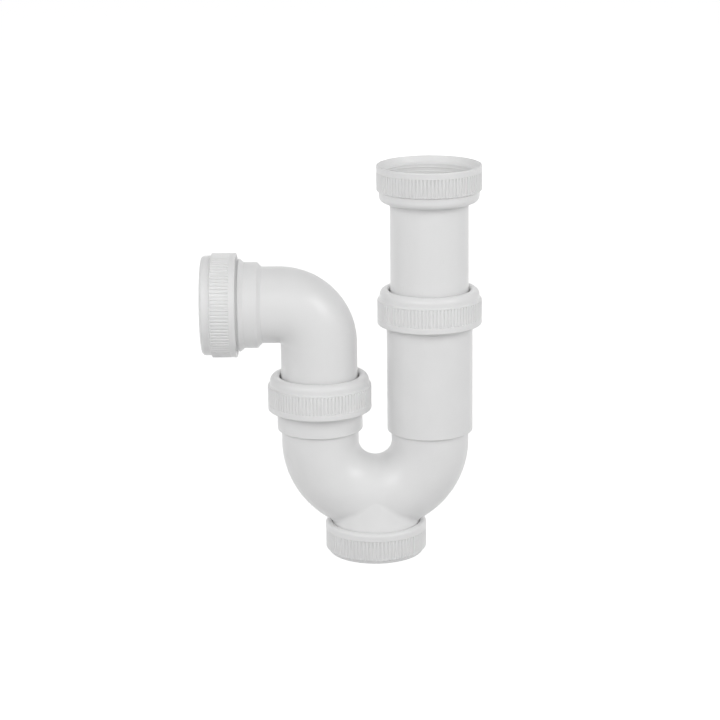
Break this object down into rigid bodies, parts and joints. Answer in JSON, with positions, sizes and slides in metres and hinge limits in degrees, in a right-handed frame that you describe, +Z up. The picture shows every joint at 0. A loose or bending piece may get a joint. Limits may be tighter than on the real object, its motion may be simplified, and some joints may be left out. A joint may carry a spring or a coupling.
{
  "type": "extendable trap",
  "caption": "White plastic tubular trap: telescopic inlet tube, ribbed compression nuts, U-bend with a screw-off cleaning cap, and an outlet elbow that swivels towards the waste pipe.",
  "frame": {"origin": "centre of the cleaning cap's flat underside", "axes": "+Z up along the legs, +X towards the inlet leg, -X out of the outlet, +Y away from the viewer"},
  "size_m": [0.1503, 0.0562, 0.2141],
  "materials": {
    "pipe_plastic": "satin",
    "nut_plastic": "satin",
    "seal_rubber": "matte",
    "slip_plastic": "satin"
  },
  "bodies": {
    "trap_body": {"trap_body": "pipe_plastic", "slide_seal": "seal_rubber", "swivel_seal": "seal_rubber"},
    "inlet_tube": {"inlet_tube": "pipe_plastic", "inlet_washer": "seal_rubber"},
    "inlet_nut": {"inlet_nut": "nut_plastic"},
    "outlet_bend": {"outlet_bend": "pipe_plastic", "outlet_seal": "seal_rubber"},
    "slide_nut_seat": {"slide_slip_ring": "slip_plastic"},
    "slide_nut": {"slide_nut": "nut_plastic"},
    "swivel_nut_seat": {"swivel_slip_ring": "slip_plastic"},
    "swivel_nut": {"swivel_nut": "nut_plastic"},
    "outlet_nut_seat": {"outlet_slip_ring": "slip_plastic"},
    "outlet_nut": {"outlet_nut": "nut_plastic"},
    "cleaning_cap_seat": {"cap_washer": "seal_rubber"},
    "cleaning_cap": {"cleaning_cap": "nut_plastic"}
  },
  "joints": [
    {"name": "inlet_tube_slide", "type": "slide", "parent": "trap_body", "child": "inlet_tube", "axis": [0, 0, 1], "range_m": [-0.034, 0.02]},
    {"name": "inlet_nut_turn", "type": "hinge", "parent": "inlet_tube", "child": "inlet_nut", "pos_m": [0.02985, 0, 0.2042], "axis": [0, 0, 1], "continuous": true},
    {"name": "elbow_swivel", "type": "hinge", "parent": "trap_body", "child": "outlet_bend", "pos_m": [-0.02985, 0, 0.0906], "axis": [0, 0, 1], "range_deg": [-115, 115]},
    {"name": "slide_nut_advance", "type": "slide", "parent": "trap_body", "child": "slide_nut_seat", "axis": [0, 0, 1], "range_m": [0, 0.00926]},
    {"name": "slide_nut_turn", "type": "hinge", "parent": "slide_nut_seat", "child": "slide_nut", "pos_m": [0.02985, 0, 0.1376], "axis": [0, 0, 1], "range_deg": [0, 1440]},
    {"name": "swivel_nut_advance", "type": "slide", "parent": "trap_body", "child": "swivel_nut_seat", "axis": [0, 0, 1], "range_m": [0, 0.00926]},
    {"name": "swivel_nut_turn", "type": "hinge", "parent": "swivel_nut_seat", "child": "swivel_nut", "pos_m": [-0.02985, 0, 0.0906], "axis": [0, 0, 1], "range_deg": [0, 1440]},
    {"name": "outlet_nut_advance", "type": "slide", "parent": "outlet_bend", "child": "outlet_nut_seat", "axis": [-1, 0, 0], "range_m": [0, 0.00926]},
    {"name": "outlet_nut_turn", "type": "hinge", "parent": "outlet_nut_seat", "child": "outlet_nut", "pos_m": [-0.08285, 0, 0.13876], "axis": [-1, 0, 0], "range_deg": [0, 1440]},
    {"name": "cleaning_cap_advance", "type": "slide", "parent": "trap_body", "child": "cleaning_cap_seat", "axis": [0, 0, -1], "range_m": [0, 0.0081]},
    {"name": "cleaning_cap_turn", "type": "hinge", "parent": "cleaning_cap_seat", "child": "cleaning_cap", "pos_m": [0, 0, 0.0086], "axis": [0, 0, -1], "range_deg": [0, 1260]}
  ],
  "couplings": [
    {"joint": "slide_nut_advance", "follows": "slide_nut_turn", "m_per_rad": 0.00036749},
    {"joint": "swivel_nut_advance", "follows": "swivel_nut_turn", "m_per_rad": 0.00036749},
    {"joint": "outlet_nut_advance", "follows": "outlet_nut_turn", "m_per_rad": 0.00036749},
    {"joint": "cleaning_cap_advance", "follows": "cleaning_cap_turn", "m_per_rad": 0.00036749}
  ]
}
